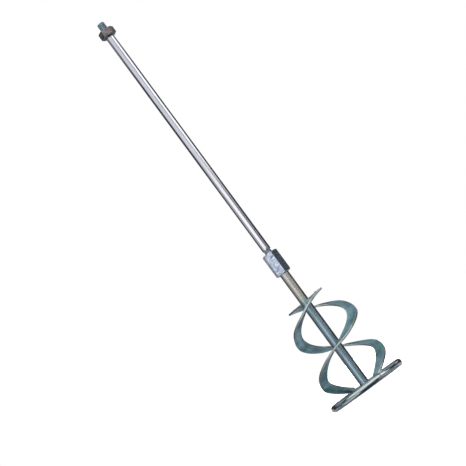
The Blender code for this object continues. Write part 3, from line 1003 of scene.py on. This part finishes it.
@dataclass
class Winding:
    """How a helical strip and its top blade lie, which all pieces of the head share.

    Attributes:
        start: Bearing where the strip passes in front of the shaft.
        outer: Radius of its outer edge.
        width: Along the radius.
        thickness: Of the strip and the blade.
        crossing: Height of the even helix at turn 0.
        pitch: Fall in one whole turn.
        head, foot: Turns at the two ends.
        rest: Turn at which the outer edge comes down onto the hoop's bar.
        hoop_radius, hoop_bar: Of the hoop's middle line and of its bar, which the foot is trimmed to clear.
        head_dip, foot_drop: How far the strip lies below the even helix at its head and where it rests.
        droop: How far the outer edge droops below the inner one on the way down from each side.
        sway: How high the strip runs first, and then how low; negative the other way about.
        blend: Turn from which the foot is pulled down.
        pinch: How far the first half turn is drawn in.
        blade_low: Turn of the blade's lower edge.
        shaft_radius: Of the bar that the blade stands on.
    """

    start: float = 0.0
    outer: float = 0.0532
    width: float = 0.0143
    thickness: float = 0.0029
    crossing: float = 0.14124
    pitch: float = 0.1345
    head: float = math.radians(-34)
    foot: float = math.radians(338)
    rest: float = math.radians(328)
    hoop_radius: float = 0.0550
    hoop_bar: float = 0.0050
    head_dip: float = 0.0043
    foot_drop: float = 0.0032
    droop: float = 0.0046
    sway: float = 0.0012
    blend: float = math.radians(270)
    pinch: float = 0.0
    blade_low: float = math.radians(-4)
    shaft_radius: float = 0.0071

    def height(self, turn: Array) -> Array:
        """The even helix, less a dip at each end that grows as the square of the turn past its start."""
        even = self.crossing - self.pitch * turn / math.tau
        dip = self.head_dip * (np.minimum(turn, 0) / self.head) ** 2
        drop = self.foot_drop * (np.maximum(turn - self.blend, 0) / (self.rest - self.blend)) ** 2
        return even - dip - drop

    def drooped(self, turn: Array) -> Array:
        """The droop's share of its full depth, which grows after each side of the tool is passed."""
        degrees = np.degrees(turn)
        first = ease(degrees, 45, 88) * (1 - ease(degrees, 150, 198))
        return self.droop * (first + 0.75 * ease(degrees, 232, 288))

    def swayed(self, turn: Array) -> Array:
        """The sway times the cosine of twice the turn past 30 degrees, fading to nothing at both ends."""
        degrees = np.degrees(turn)
        ends = ease(degrees, 2, 20) * (1 - ease(degrees, 270, 300))
        return self.sway * np.cos(2 * (turn - math.radians(30))) * ends

    def slope(self, turn: Array) -> Array:
        """Rise over run at the strip's middle radius."""
        step = math.radians(0.5)
        run = 2 * step * (self.outer - self.width / 2)
        return (self.height(turn - step) - self.height(turn + step)) / run

    def drawn_in(self, turn: Array) -> Array:
        """The pinch times the square of the turn's sine, in the first half turn."""
        return self.pinch * np.sin(turn) ** 2 * ((turn > 0) & (turn < math.pi))

    def trimmed(self, turn: Array) -> Array:
        """How much is cut off the outer edge, so that it passes inside the hoop's bar.

        The edge's underside stays outside a circle round the bar's middle, a little larger than the bar.
        """
        under = self.height(turn) - self.drooped(turn) - self.thickness / 2 * np.hypot(1, self.slope(turn))
        above = np.maximum(under - self.hoop_bar, 0)
        across = np.sqrt(np.maximum((self.hoop_bar + 0.0004) ** 2 - above**2, 0))
        return np.maximum(self.outer - (self.hoop_radius - across), 0)

    @property
    def blade_slope(self) -> float:
        """Fall of the blade over its run, so that its edges meet the strip."""
        run = (self.outer - self.width) * math.sin(self.blade_low - self.head)
        return float((self.height(np.array(self.head)) - self.height(np.array(self.blade_low))) / run)

    def blade_height(self, turn: Array, radius: Array | float) -> Array:
        """A plane that falls away from the blade's upper edge."""
        return self.height(np.array(self.head)) - self.blade_slope * radius * np.sin(turn - self.head)


@dataclass
class Strip(Piece):
    """One helical strip, cut from flat bar and wound by hand.

    Attributes:
        winding: How it lies.
        lumps: (turn, share of the width, radius) of spatter on it.
    """

    winding: Winding = field(default_factory=Winding)
    lumps: tuple[tuple[float, float, float], ...] = ()

    def skins(self) -> list[Skin]:
        """The bar's section carried down the helix.

        The radius and height wander by a few tenths of a millimetre, the faces are a little hollow across
        the width, and the section shrinks to a rounded end over the last millimetre at each end.
        """
        w = self.winding
        turn = np.linspace(w.head, w.foot, 260)
        ends = math.radians(0.35) * np.array([0.15, 0.5, 1.0, 1.7])
        turn = np.unique(np.concatenate([turn, w.head + ends, w.foot - ends]))[:, None]
        u, v, edge = bar_section(w.width / 2, w.thickness / 2, 0.00045)
        from_end = np.minimum(turn - w.head, w.foot - turn) * (w.outer - w.width / 2)
        close = rounded_end(from_end, 0.0010, 0.45)
        inset = 0.0010 * (1 - close)
        free = ease(from_end, 0.0, 0.02)
        sway = 0.00025 * wander(turn * 1.6, 0.0, w.start + 1.0) * free - 0.00025
        lift = 0.0003 * wander(turn * 2.1, 0.0, w.start + 4.0) * free + w.swayed(turn)
        lift = lift - w.drooped(turn) * (0.5 + u / w.width)
        hollow = 0.00022 * (1 - (u / (w.width / 2)) ** 2)
        radius = w.outer - w.width / 2 - w.drawn_in(turn) + sway + u * (1 - inset / w.width)
        radius = radius - w.trimmed(turn) * (0.5 + u / w.width)
        slant = np.hypot(1, w.slope(turn))
        height = w.height(turn) + lift + (v * close) * slant - hollow * free
        bearing = w.start - turn + 0 * u
        along = turn * (w.outer - w.width / 2) + 0 * u
        flow = np.stack([along, u + 0 * along, v + 0 * along], axis=-1)
        marks = {"edge": edge + 0 * along, "flow": flow}
        return [Skin(polar(bearing, radius, height), marks=marks)] + [self.lump(*one) for one in self.lumps]

    def lump(self, turn: float, share: float, size: float) -> Skin:
        """A half-sunk drop of spatter: a squashed ball whose radius wanders."""
        w = self.winding
        bearing = w.start - turn
        radius = w.outer - w.width * share - float(w.drawn_in(np.array(turn)))
        lowered = float(w.drooped(np.array(turn))) * (1 - share)
        middle = polar(bearing, radius, float(w.height(np.array(turn))) - lowered + w.thickness / 2)
        return droplet(middle, size, turn, flow=True)


def droplet(middle: Array, size: float, seed: float, flow: bool = False) -> Skin:
    """A small uneven ball: rings of points at even angles from its top, their radius wandering."""
    polar_angle = np.linspace(0.15, math.pi - 0.15, 9)[:, None]
    around = np.linspace(0, math.tau, 14, endpoint=False)[None, :]
    reach = size * (1 + 0.12 * wander(around * 1.0, polar_angle * 2, seed))
    offset = np.stack(
        [
            reach * np.sin(polar_angle) * np.cos(around),
            reach * np.sin(polar_angle) * np.sin(around),
            0.7 * reach * np.cos(polar_angle),
        ],
        axis=-1,
    )
    # 1 at the top, 0 at the bottom: the weld finish paints shade on the lower side.
    edge = 0.5 + 0.5 * np.cos(polar_angle) + 0 * around
    marks = {"edge": edge}
    if flow:
        marks["flow"] = offset
    return Skin(middle + offset, marks=marks)


@dataclass
class TopBlade(Piece):
    """The flat pitched blade that carries a strip's head from the shaft."""

    winding: Winding = field(default_factory=Winding)

    def skins(self) -> list[Skin]:
        """The bar's section, from the shaft to the strip, carried across the blade from edge to edge.

        The height at each point is the blade's plane at that radius and turn.
        """
        w = self.winding
        root, tip = w.shaft_radius - 0.0004, w.outer - w.width + 0.0002
        turn = np.linspace(w.head, w.blade_low, 40)
        ends = math.radians(1.2) * np.array([0.1, 0.35, 0.7])
        turn = np.unique(np.concatenate([turn, w.head + ends, w.blade_low - ends]))[:, None]
        u, v, _ = bar_section((tip - root) / 2, w.thickness / 2, 0.0004)
        radius = (root + tip) / 2 + u + 0 * turn
        from_end = np.minimum(turn - w.head, w.blade_low - turn) * radius
        close = rounded_end(from_end, 0.0008, 0.5)
        sag = 0.0002 * wander(radius * 160, turn * 3, w.start)
        height = w.blade_height(turn, radius) + v * close * math.hypot(1, w.blade_slope) + sag
        run = turn * 0.03 + 0 * u
        rim = 1 - ease(from_end, 0.0, 0.0018)
        marks = {"edge": rim, "flow": np.stack([radius, run, v + 0 * run], axis=-1)}
        return [Skin(polar(w.start - turn + 0 * u, radius, height), marks=marks)]


@dataclass
class Hoop(Piece):
    """The hoop: round bar bent into a circle.

    Attributes:
        radius: To the bar's middle.
        bar: The bar's radius.
    """

    radius: float = 0.0550
    bar: float = 0.0050

    def skins(self) -> list[Skin]:
        """A circle of circles, the bar thinner by up to a few hundredths here and there from bending."""
        bearing = np.linspace(0, math.tau, 220, endpoint=False)[:, None]
        around = np.linspace(0, math.tau, 36, endpoint=False)[None, :]
        bar = self.bar - 0.00003 * (1 + wander(np.sin(bearing) * 3, np.cos(bearing) * 3 + around * 0, 5.0))
        radius = self.radius + bar * np.cos(around)
        height = self.bar + bar * np.sin(around)
        edge = 0.30 + 0.15 * wander(np.sin(bearing) * 5, np.cos(bearing) * 5 + around, 2.0)
        return [Skin(polar(bearing, radius, height), looped=True, marks={"edge": edge})]


@dataclass
class Strut(Piece):
    """The flat bar across the hoop, under the shaft's foot.

    Attributes:
        reach: Radius that its ends run to, just inside the hoop's bar.
        width: Front to back.
        bottom, top: Its levels.
    """

    reach: float = 0.0503
    width: float = 0.022
    bottom: float = 0.0019
    top: float = 0.0069

    def skins(self) -> list[Skin]:
        """The bar's section carried along X, each line of it as long as the circle of its ends allows."""
        u, v, edge = bar_section(self.width / 2, (self.top - self.bottom) / 2, 0.0008)
        share = np.linspace(-1, 1, 60)[:, None]
        x = share * np.sqrt(self.reach**2 - u**2)
        y, z = u + 0 * x, (self.top + self.bottom) / 2 + v + 0 * x
        flow = np.stack([x, y, z], axis=-1)
        return [Skin(flow.copy(), marks={"edge": edge + 0 * x, "flow": flow})]


class Taper(Enum):
    """How a weld bead ends."""

    ROUNDED = "rounded"
    CLOSED_LOOP = "closed loop"


@dataclass
class Bead(Piece):
    """A weld bead laid along a path, with the ripples of its pool.

    Attributes:
        path: Points along it.
        steady: A direction never in line with the path.
        radius: Of its round section.
        ripple: Spacing of the ripples.
        taper: How it ends.
        seed: Picks its unevenness.
        spatter: (place, radius) of drops beside it.
    """

    path: Array = field(default_factory=lambda: np.zeros((2, 3)))
    steady: tuple[float, float, float] = (0.0, 0.0, 1.0)
    radius: float = 0.0011
    ripple: float = 0.0011
    taper: Taper = Taper.ROUNDED
    seed: float = 1.0
    spatter: tuple[tuple[Array, float], ...] = ()

    def skins(self) -> list[Skin]:
        """A round section carried along the path.

        Its radius is the bead's, times a saw-like wave that lags behind at the bead's sides and so draws
        curved ripples, times a slow unevenness, and it falls as a quarter ellipse to each open end.
        """
        looped = self.taper is Taper.CLOSED_LOOP
        ring = np.vstack([self.path, self.path[:1]]) if looped else self.path
        spans = np.linalg.norm(np.diff(ring, axis=0), axis=1)
        at = np.concatenate([[0], np.cumsum(spans)])
        count = max(24, round(at[-1] / 0.00016))
        s = np.linspace(0, at[-1], count, endpoint=not looped)
        centre = np.stack([np.interp(s, at, ring[:, axis]) for axis in range(3)], axis=-1)
        if looped:
            ahead = np.roll(centre, -1, axis=0) - np.roll(centre, 1, axis=0)
        else:
            ahead = np.gradient(centre, axis=0)
        ahead /= np.linalg.norm(ahead, axis=1, keepdims=True)
        side = np.cross(np.array(self.steady), ahead)
        side /= np.linalg.norm(side, axis=1, keepdims=True)
        up = np.cross(ahead, side)
        around = np.linspace(0, math.tau, 20, endpoint=False)[None, :]
        ripples = max(1, round(at[-1] / self.ripple))
        phase = s[:, None] / at[-1] * ripples + 0.35 * np.cos(around) ** 2
        saw = phase % 1.0
        wave = saw * (1 - ease(saw, 0.8, 1.0))
        reach = self.radius * (0.90 + 0.20 * wave + 0.07 * wander(s[:, None] * 900, around, self.seed))
        if not looped:
            from_end = np.minimum(s, at[-1] - s)[:, None] / (1.3 * self.radius)
            reach = reach * np.sqrt(np.clip(1 - (1 - np.clip(from_end, 0.02, 1)) ** 2, 0.0004, 1))
        offset = np.cos(around)[..., None] * side[:, None] + np.sin(around)[..., None] * up[:, None]
        points = centre[:, None] + offset * reach[..., None]
        points[..., 2] = np.maximum(points[..., 2], 0.0)
        drops = [
            droplet(place, size, self.seed + number) for number, (place, size) in enumerate(self.spatter)
        ]
        # The edge mark carries the ripples' phase, which the weld finish uses to paint shade in their hollows.
        return [Skin(points, looped=looped, marks={"edge": wave + 0 * reach})] + drops


def weld(name: str, path: Array, **sizes: Any) -> Bead:
    """A bead of weld metal on the head, with a bead's other fields as named."""
    return Bead(name, Metal.WELD_METAL, Body.HEAD, path, **sizes)


@dataclass
class MixingHead:
    """The welded head: strips and blades, hoop and strut, and the beads that join them.

    Attributes:
        front, rear: How the two strips lie.
        hoop: The hoop's sizes, which the beads on it share.
        strut: The strut's sizes.
        seam_bearing: Where the hoop's bar closes.
    """

    front: Winding = field(default_factory=lambda: Winding(start=0.0, pinch=0.0060, sway=-0.0012))
    rear: Winding = field(default_factory=lambda: Winding(start=math.pi))
    hoop: Hoop = field(default_factory=lambda: Hoop("base_ring", Metal.RING_ZINC, Body.HEAD))
    strut: Strut = field(default_factory=lambda: Strut("cross_strut", Metal.STRIP_ZINC, Body.HEAD))
    seam_bearing: float = math.radians(22.5)

    def on_hoop(self, bearing: Array | float, around: Array | float, proud: float) -> Array:
        """Points a little off the hoop's bar, at an angle round its section from its outer side."""
        reach = self.hoop.bar + proud
        radius = self.hoop.radius + reach * np.cos(around)
        return polar(bearing, radius, self.hoop.bar + reach * np.sin(around))

    def across_hoop(
        self, name: str, bearing: float, around: Array, proud: float, spots: Sequence[Spot], **sizes: Any
    ) -> Bead:
        """A bead across the hoop's bar, with spatter beside it.

        Args:
            name: The bead's name.
            bearing: Where it crosses.
            around: Angles round the bar's section that it runs through.
            proud: How far its middle lies off the bar.
            spots: The drops of spatter.
            sizes: The bead's other fields.

        Returns:
            The bead.
        """
        along = (math.cos(bearing), math.sin(bearing), 0.0)
        spatter = tuple(
            (self.on_hoop(bearing + off, math.radians(at), 0.0001), size) for off, at, size in spots
        )
        return weld(name, self.on_hoop(bearing, around, proud), steady=along, spatter=spatter, **sizes)

    def blade_bead(self, side: str, w: Winding) -> Bead:
        """The bead in the corner between a blade and the shaft."""
        turn = np.linspace(w.head + math.radians(1), w.blade_low + math.radians(1), 24)
        radius = w.shaft_radius + 0.0006
        height = w.blade_height(turn, radius) + (w.thickness / 2 + 0.0006) * math.hypot(1, w.blade_slope)
        path = polar(w.start - turn, radius, height)
        return weld(f"blade_weld_{side}", path, radius=0.0014, seed=w.start + 1)

    def seam_bead(self, side: str, w: Winding) -> Bead:
        """The bead over the seam between a blade and its strip."""
        turn = np.linspace(w.head + math.radians(2.5), w.blade_low - math.radians(2.5), 24)
        radius = w.outer - w.width
        blade_top = w.blade_height(turn, radius) + w.thickness / 2 * math.hypot(1, w.blade_slope)
        strip_top = w.height(turn) + w.thickness / 2 * np.hypot(1, w.slope(turn))
        path = polar(w.start - turn, radius, np.maximum(blade_top, strip_top) + 0.0001)
        return weld(f"seam_weld_{side}", path, radius=0.0010, ripple=0.0009, seed=w.start + 2)

    def foot_bead(self, side: str, w: Winding) -> Bead:
        """The bead down the inner side of the hoop's bar against a strip's foot, with spatter beside it."""
        bearing = w.start - w.foot - 0.0013 / (self.hoop.radius - self.hoop.bar)
        around = np.linspace(math.radians(124), math.radians(193), 24)
        spots = (
            (-0.035, 75.0, 0.0007), (-0.062, 110.0, 0.0009), (-0.085, 82.0, 0.0005), (-0.10, 128.0, 0.0006),
            (0.05, 68.0, 0.0006), (0.075, 100.0, 0.0005),
        )
        sizes = {"radius": 0.0015, "ripple": 0.0012, "seed": w.start + 3}
        return self.across_hoop(f"foot_weld_{side}", bearing, around, 0.0006, spots, **sizes)

    def strut_bead(self, side: str, bearing: float) -> Bead:
        """The bead in the corner between the strut's top and the hoop's inner side."""
        height, reach = self.strut.top + 0.0004, self.hoop.bar + 0.0004
        radius = self.hoop.radius - math.sqrt(reach**2 - (height - self.hoop.bar) ** 2)
        half = math.asin((self.strut.width / 2 - 0.0009) / radius)
        path = polar(np.linspace(bearing - half, bearing + half, 32), radius, height)
        return weld(f"strut_weld_{side}", path, radius=0.0011, seed=bearing + 4)

    def shaft_bead(self) -> Bead:
        """The bead round the shaft's foot, on the strut."""
        radius, height = self.front.shaft_radius + 0.0006, self.strut.top + 0.0005
        path = polar(np.linspace(0, math.tau, 48, endpoint=False), radius, height)
        return weld("shaft_foot_weld", path, radius=0.0014, taper=Taper.CLOSED_LOOP, seed=6.0)

    def hoop_bead(self) -> Bead:
        """The bead over the joint where the hoop's bar closes."""
        around = np.linspace(math.radians(-38), math.radians(122), 48)
        spots = ((0.045, 95.0, 0.0006), (0.03, 60.0, 0.0004), (-0.04, 70.0, 0.0005))
        sizes = {"radius": 0.0008, "ripple": 0.0007, "seed": 7.0}
        return self.across_hoop("ring_seam_weld", self.seam_bearing, around, -0.0001, spots, **sizes)

    def build(self) -> None:
        """Builds every piece of the head."""
        self.hoop.build()
        self.strut.build()
        splashed = ((math.radians(296), 0.97, 0.0013), (math.radians(301), 0.80, 0.0007))
        lumps = {"front": splashed, "rear": ()}
        for side, winding in (("front", self.front), ("rear", self.rear)):
            Strip(f"spiral_{side}", Metal.STRIP_ZINC, Body.HEAD, winding, lumps[side]).build()
            TopBlade(f"top_blade_{side}", Metal.STRIP_ZINC, Body.HEAD, winding).build()
            for bead in (self.blade_bead, self.seam_bead, self.foot_bead):
                bead(side, winding).build()
        self.strut_bead("right", math.pi / 2).build()
        self.strut_bead("left", -math.pi / 2).build()
        self.shaft_bead().build()
        self.hoop_bead().build()


# ---------------------------------------------------------------- studio


WHITE: Colour = (1.0, 1.0, 1.0)
SKY: Colour = (0.80, 0.92, 1.0)
COOL: Colour = (0.75, 0.88, 1.0)


@dataclass(frozen=True)
class Panel:
    """A soft patch of brightness in the surroundings, as the metal reflects it.

    Attributes:
        bearing: Middle, in degrees from the front towards the right.
        half: Half its width, in degrees.
        low, high: Degrees above the horizon.
        colour: Its colour.
        level: Its brightness.
        soft: Half the width of its fading sides, in degrees.
        fade: Half the height of its fading top and bottom, in degrees.
    """

    bearing: float
    half: float
    low: float
    high: float
    colour: Colour
    level: float
    soft: float = 2.0
    fade: float = 0.4

    def share(self, bench: Bench, bearing: Value, elevation: Value) -> Value:
        """How much of a direction it covers, 0 to 1."""
        off = bench.node(
            "ShaderNodeMath", {"operation": "WRAP"}, {0: bearing - self.bearing, 1: 180.0, 2: -180.0}
        )
        across = off.size().fall(self.half - self.soft, self.half + self.soft)
        return across * elevation.window(self.low, self.high, self.fade)


@dataclass
class Studio:
    """A pale floor without a visible end, soft light, and a camera.

    Attributes:
        lens: Focal length on a 36 mm sensor, in mm.
        aim: Place in the middle of the view.
        distance: From the camera to it, in metres.
        tilt: How far the camera looks upwards, in degrees.
        lean: How far the camera is rolled, in degrees.
        dark: Colour of the surroundings between the panels.
        panels: Patches of brightness, later ones over earlier ones.
    """

    lens: float = 115.57
    aim: tuple[float, float, float] = (-0.0241, 0.0, 0.2882)
    distance: float = 2.116
    tilt: float = 6.5
    lean: float = 36.29
    dark: Colour = (0.045, 0.05, 0.06)
    panels: tuple[Panel, ...] = (
        # Beyond the tool, above and below: what the faces of the strips mirror.
        Panel(180, 80, 28, 66, SKY, 0.42, 6, 6),
        Panel(180, 80, -76, -30, SKY, 0.36, 6, 6),
        Panel(180, 75, -26, -9, (0.93, 0.90, 1.0), 0.50),
        # Low on both sides: what upright surfaces mirror when they are seen from above.
        Panel(-62, 34, -50, -9, (0.94, 0.97, 1.0), 0.70, 6, 1),
        Panel(72, 30, -50, -9, (0.94, 0.97, 1.0), 0.32, 6, 1),
        # Overhead, and high in front: the tops of the hoop and the blades.
        Panel(0, 180, 68, 91, WHITE, 0.9),
        Panel(0, 75, 26, 60, WHITE, 1.40, 5, 2),
        # Level in front: the lower shaft below the blades.
        Panel(-62, 44, -8, 2.8, COOL, 0.20),
        Panel(-20, 17, -9, 2.8, (0.85, 0.94, 1.0), 1.20, 5),
        Panel(40, 40, -8, 2.8, COOL, 0.27, 8),
        # A little higher: the lower shaft above the blades.
        Panel(-52, 44, 2.8, 4.2, WHITE, 0.35),
        Panel(-38, 25, 2.8, 4.2, WHITE, 1.00, 5),
        Panel(22, 32, 2.8, 4.2, (1.0, 0.98, 0.96), 0.42),
        # Higher again: the coupling, and the polished bar's lower part.
        Panel(-65, 25, 4.2, 9, WHITE, 0.45),
        Panel(-6, 35, 4.2, 9, WHITE, 1.30),
        Panel(62, 12, 4.2, 9, WHITE, 0.40),
        # The rest of the polished bar, and the nut's front flat.
        Panel(-25, 45, 9, 19, (0.92, 0.94, 1.0), 0.80),
        Panel(58, 26, 9, 18, WHITE, 1.35),
        # Narrow ones, far round: the side flats of the coupling and the nut.
        Panel(-153, 13, -8, 8, (0.95, 0.96, 1.0), 0.42),
        Panel(-110, 14, 14.0, 22, (0.95, 0.94, 1.0), 0.40),
        Panel(132, 14, 14.6, 24, (1.0, 0.94, 1.0), 0.70),
    )

    def surroundings(self) -> None:
        """Lights the metal: white where the camera sees it, and the panels in every reflection."""
        world = bpy.data.worlds.new("surroundings")
        world.use_nodes = True
        bpy.context.scene.world = world
        bench = Bench(world.node_tree)
        x, y, z = bench.parts(bench.node("ShaderNodeTexCoord", output="Generated"))
        turned = bench.node("ShaderNodeMath", {"operation": "ARCTAN2"}, {0: x, 1: y * -1.0})
        bearing = turned * math.degrees(1)
        elevation = bench.node("ShaderNodeMath", {"operation": "ARCSINE"}, {0: z}) * math.degrees(1)
        colour: Value | Colour = self.dark
        for panel in self.panels:
            bright = tuple(panel.level * part for part in panel.colour)
            colour = bench.mixed(panel.share(bench, bearing, elevation), colour, bright)
        seen = bench.node("ShaderNodeLightPath", output="Is Camera Ray")
        light = bench.node("ShaderNodeBackground", None, {0: bench.mixed(seen, colour, WHITE), 1: 1.0})
        bench.node("ShaderNodeOutputWorld", None, {"Surface": light})

    def floor(self) -> None:
        """A pale round floor: rings of points whose radius grows evenly faster towards its far edge."""
        share = np.linspace(0, 1, 12)[:, None]
        bearing = np.linspace(0, math.tau, 48, endpoint=False)[None, :]
        radius = 0.4 + 39.6 * share**2
        top = polar(bearing, radius, -0.0002)
        bottom = polar(bearing, radius[::-1], -0.02)
        made = make_mesh("floor", [Skin(np.vstack([top, bottom]))])
        material = bpy.data.materials.new("pale_floor")
        material.use_nodes = True
        bench = Bench(material.node_tree)
        cloud = bench.noise(bench.place(), 1.5, 3.0)
        colour = bench.ramp(cloud, [(0.3, (0.90, 0.90, 0.90)), (0.7, (0.93, 0.93, 0.93))])
        shader = bench.node("ShaderNodeBsdfPrincipled", None, {"Base Color": colour, "Roughness": 0.9})
        bench.node("ShaderNodeOutputMaterial", None, {"Surface": shader})
        made.data.materials.append(material)
        made.visible_glossy = False

    def sun(self) -> None:
        """A broad soft light from above that keeps the floor pale."""
        lamp = bpy.data.lights.new("soft_top_light", "SUN")
        lamp.energy = 7.0
        lamp.angle = math.radians(70)
        made = bpy.data.objects.new("soft_top_light", lamp)
        made.rotation_euler = (math.radians(18), math.radians(-22), 0)
        made.visible_glossy = False
        bpy.context.scene.collection.objects.link(made)

    def camera(self) -> None:
        """A camera in front, low and a little left, looking slightly up and rolled."""
        tilt, lean = math.radians(self.tilt), math.radians(self.lean)
        ahead = np.array([0.0, math.cos(tilt), math.sin(tilt)])
        level_up = np.array([0.0, -math.sin(tilt), math.cos(tilt)])
        level_right = np.array([1.0, 0.0, 0.0])
        right = math.cos(lean) * level_right - math.sin(lean) * level_up
        up = math.sin(lean) * level_right + math.cos(lean) * level_up
        data = bpy.data.cameras.new("camera")
        data.lens = self.lens
        data.sensor_width = 36.0
        data.clip_end = 200.0
        made = bpy.data.objects.new("camera", data)
        pose = np.eye(4)
        pose[:3, 0], pose[:3, 1], pose[:3, 2] = right, up, -ahead
        pose[:3, 3] = np.array(self.aim) - ahead * self.distance
        made.matrix_world = pose.T.tolist()
        bpy.context.scene.collection.objects.link(made)
        bpy.context.scene.camera = made

    def build(self) -> None:
        """Sets up the whole studio."""
        self.surroundings()
        self.floor()
        self.sun()
        self.camera()
        bpy.context.scene.view_settings.view_transform = "Standard"


# ---------------------------------------------------------------- the whole tool


def corners(bounds: Sequence[Any]) -> list[list[float]]:
    """A box's two corners as plain numbers."""
    return [[float(number) for number in corner] for corner in bounds]


def build_paddle() -> None:
    """Builds every piece in order."""
    UpperShaft("upper_shaft", Metal.POLISHED_STEEL, Body.UPPER_SHAFT).build()
    HexPiece("lock_nut", Metal.NUT_STEEL, Body.LOCK_NUT, corner=math.radians(35), face_share=0.91).build()
    coupling = {"corner": math.radians(13.5), "face_share": 0.95, "socket": 0.0103}
    HexPiece("hex_coupling", Metal.COUPLING_ZINC, Body.HEAD, **coupling).build()
    LowerShaft("lower_shaft", Metal.SHAFT_ZINC, Body.HEAD).build()
    MixingHead().build()


def main() -> None:
    """Builds the studio and the paddle."""
    logging.basicConfig(level=logging.INFO, format="%(message)s")
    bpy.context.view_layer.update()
    Studio().build()
    build_paddle()


if __name__ == "__main__":
    main()
